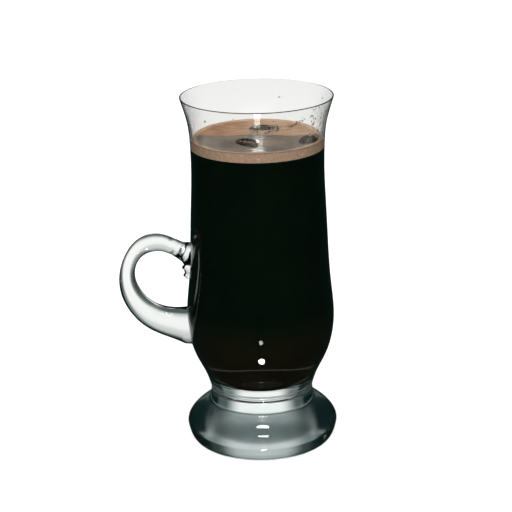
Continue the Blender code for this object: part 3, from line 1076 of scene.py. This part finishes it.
def stage_world():
    """White to the camera; through glass, bright panels with greyer skirts and dark gaps between them; in
    reflections, a dim room with a thin line on the table; and one soft light for dull surfaces."""
    world = bpy.data.worlds.new("studio")
    bpy.context.scene.world = world
    world.use_nodes = True
    nodes, links = world.node_tree.nodes, world.node_tree.links
    nodes.clear()
    output = nodes.new("ShaderNodeOutputWorld")
    path = nodes.new("ShaderNodeLightPath")
    place = nodes.new("ShaderNodeTexCoord")
    split = nodes.new("ShaderNodeSeparateXYZ")
    links.new(place.outputs["Generated"], split.inputs["Vector"])
    x, y, z = split.outputs
    around = maths(nodes, links, "ARCTAN2", x, y)
    height = number_map(nodes, links, z, -1.0, 1.0)
    through = shaded_light(nodes, links, height, GAP_LEVELS)
    for levels, turn, period, inner, outer in PANELS:
        light = shaded_light(nodes, links, height, levels)
        share = panel_edge(nodes, links, around, turn, period, inner, outer)
        through = blended(nodes, links, share, through, light)
    room = shaded_light(nodes, links, height, ROOM_LEVELS)
    line = table_line(nodes, links, x, y, z)
    shader = blended(nodes, links, line, room, plain_light(nodes, LINE_COLOUR))
    soft = plain_light(nodes, (SOFT_LIGHT,) * 3)
    ground = plain_light(nodes, (1.0, 1.0, 1.0), BRIGHT_GROUND)
    for ray, light in (("Is Diffuse Ray", soft), ("Is Transmission Ray", through), ("Is Camera Ray", ground)):
        shader = blended(nodes, links, path.outputs[ray], shader, light)
    links.new(shader.outputs["Shader"], output.inputs["Surface"])


# Half the floor's width, in metres, and its height just under the foot
FLOOR_HALF = 4.0
FLOOR_Z = -0.3 * MM


def stage_floor():
    """A wide plain pale sheet just under the foot."""
    corners = np.array([(-1, -1, 0), (1, -1, 0), (1, 1, 0), (-1, 1, 0)]) * FLOOR_HALF
    corners[:, 2] = FLOOR_Z
    floor = mesh_object("floor", corners, [np.array([[0, 1, 2, 3]])])
    material = new_material("white sheet", (0.9, 0.9, 0.9), 0.8, specular=0.1)[0]
    floor.data.materials.append(material)
    floor.visible_glossy = False
    floor.visible_transmission = False


LAMP_TARGET = (0.0, 0.0, 90 * MM)
# Lamps on the mug's middle plane as name, shape, (y, z), width, height, power, and whether each shows in
# reflections and through glass; "flare" lies a little further out than "low key", as lamps in one place hide
# each other
LAMPS = (
    ("key", "RECTANGLE", (-0.3355, 0.5874), 0.140, 0.035, 0.7, True, True),
    ("upper", "RECTANGLE", (-0.1452, 0.6722), 0.140, 0.035, 0.7, True, True),
    ("low key", "ELLIPSE", (-0.3976, -0.3594), 0.074, 0.066, 1.0, True, False),
    ("flare", "RECTANGLE", (-0.4016, -0.3639), 0.084, 0.095, 1.8, False, True),
    ("low glint", "ELLIPSE", (-0.5346, -0.1824), 0.054, 0.044, 0.07, True, False),
    ("film glint", "RECTANGLE", (0.58, 0.2978), 0.013, 0.005, 0.0020, True, True),
)


def area_light(name, shape, place, width, height, power, in_reflections, through_glass):
    """A small lamp on the mug's middle plane, facing the mug."""
    data = bpy.data.lights.new(name, "AREA")
    data.shape = shape
    data.size = width
    data.size_y = height
    data.energy = power
    lamp = bpy.data.objects.new(name, data)
    place = Vector((0.0, *place))
    facing = (place - Vector(LAMP_TARGET)).to_track_quat("Z", "Y").to_matrix().to_4x4()
    lamp.matrix_world = Matrix.Translation(place) @ facing
    lamp.visible_glossy = in_reflections
    lamp.visible_transmission = through_glass
    bpy.context.scene.collection.objects.link(lamp)


# The light from above: its strength, and in degrees its width and its lean towards the front
SKY_STRENGTH = 3.0
SKY_WIDTH = 70.0
SKY_LEAN = 18.0


def sky_light():
    """One even, very soft light from above."""
    data = bpy.data.lights.new("overhead", "SUN")
    data.energy = SKY_STRENGTH
    data.angle = math.radians(SKY_WIDTH)
    lamp = bpy.data.objects.new("overhead", data)
    lamp.rotation_euler = (math.radians(SKY_LEAN), 0, 0)
    lamp.visible_glossy = False
    lamp.visible_transmission = False
    bpy.context.scene.collection.objects.link(lamp)


# The camera's turn, its tilt down and its roll, in degrees
CAMERA_TURN = 0.13
CAMERA_TILT = 18.72
CAMERA_ROLL = -1.13


def stage_camera():
    """The photograph's viewpoint: in front and above, with its slight roll."""
    s = bpy.context.scene.coffee_stage
    data = bpy.data.cameras.new("camera")
    data.lens = s.focal_length
    data.sensor_width = 36.0
    camera = bpy.data.objects.new("camera", data)
    turn = Matrix.Rotation(math.radians(CAMERA_TURN), 4, "Z")
    tilt = Matrix.Rotation(math.radians(90.0 - CAMERA_TILT), 4, "X")
    roll = Matrix.Rotation(math.radians(CAMERA_ROLL), 4, "Z")
    place = Matrix.Translation((0, -s.camera_distance, s.camera_height))
    camera.matrix_world = place @ turn @ tilt @ roll
    bpy.context.scene.collection.objects.link(camera)
    bpy.context.scene.camera = camera


class COFFEE_OT_stage(bpy.types.Operator):
    """Sets the floor, the soft light and the camera"""

    bl_idname = "coffee.stage"
    bl_label = "Stage"

    def execute(self, context):
        context.scene.view_settings.view_transform = "Standard"
        stage_world()
        stage_floor()
        stage_camera()
        sky_light()
        for lamp in LAMPS:
            area_light(*lamp)
        return {"FINISHED"}


class COFFEE_PT_panel(bpy.types.Panel):
    """Lists the steps in the sidebar"""

    bl_label = "Mexican coffee"
    bl_idname = "COFFEE_PT_panel"
    bl_space_type = "VIEW_3D"
    bl_region_type = "UI"
    bl_category = "Coffee"

    def draw(self, context):
        for step in STEPS:
            self.layout.operator(step.bl_idname)
        for name in SETTINGS:
            settings = getattr(context.scene, name)
            box = self.layout.box()
            for key in settings.bl_rna.properties.keys():
                if key not in ("rna_type", "name"):
                    box.prop(settings, key)


STEPS = (COFFEE_OT_mug, COFFEE_OT_drink, COFFEE_OT_foam, COFFEE_OT_traces, COFFEE_OT_beans, COFFEE_OT_stage)
SETTINGS = {
    "coffee_glass": GlassSettings,
    "coffee_drink": DrinkSettings,
    "coffee_beans": BeanSettings,
    "coffee_stage": StageSettings,
}


def register():
    for kind in (*SETTINGS.values(), *STEPS, COFFEE_PT_panel):
        bpy.utils.register_class(kind)
    for name, kind in SETTINGS.items():
        setattr(bpy.types.Scene, name, PointerProperty(type=kind))


def unregister():
    for name in SETTINGS:
        delattr(bpy.types.Scene, name)
    for kind in (COFFEE_PT_panel, *reversed(STEPS), *SETTINGS.values()):
        bpy.utils.unregister_class(kind)


def main():
    register()
    bpy.ops.coffee.mug()
    bpy.ops.coffee.drink()
    bpy.ops.coffee.foam()
    bpy.ops.coffee.traces()
    bpy.ops.coffee.beans()
    bpy.ops.coffee.stage()


if __name__ == "__main__":
    main()
